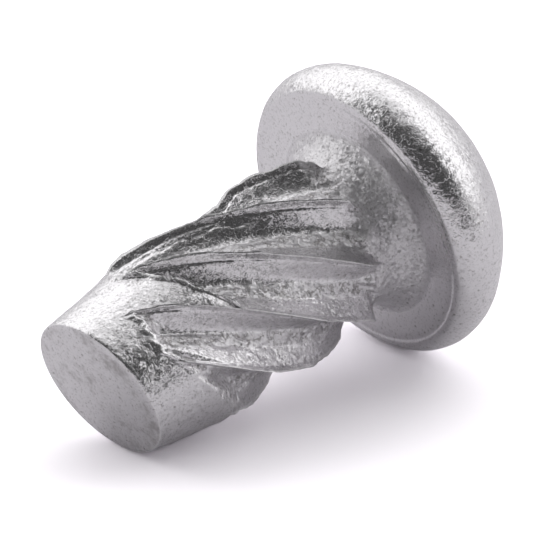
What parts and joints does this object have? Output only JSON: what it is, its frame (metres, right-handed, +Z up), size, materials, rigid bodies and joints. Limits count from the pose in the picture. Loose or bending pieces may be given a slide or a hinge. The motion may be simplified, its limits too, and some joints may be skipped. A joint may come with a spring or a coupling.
{
  "type": "hammer drive screw",
  "caption": "Round-head drive screw with a coarse multi-start right-hand thread and a tapered pilot, hammered into a drilled hole to hold a plate for good.",
  "frame": {"origin": "on the surface the screw lies on, under the middle of its bounding box", "axes": "+X along the length, from the sheared end towards the head, +Z up; the screw lies on the rim of its head and the lower edge of its end, so its axis leans about 12 degrees up from +X"},
  "size_m": [0.0068, 0.0042, 0.0041],
  "materials": {
    "plated_steel": "bright zinc plate over cold-formed steel, finely grained, with torn thread floors"
  },
  "bodies": {
    "root": {"drive_screw": "plated_steel"}
  },
  "joints": []
}
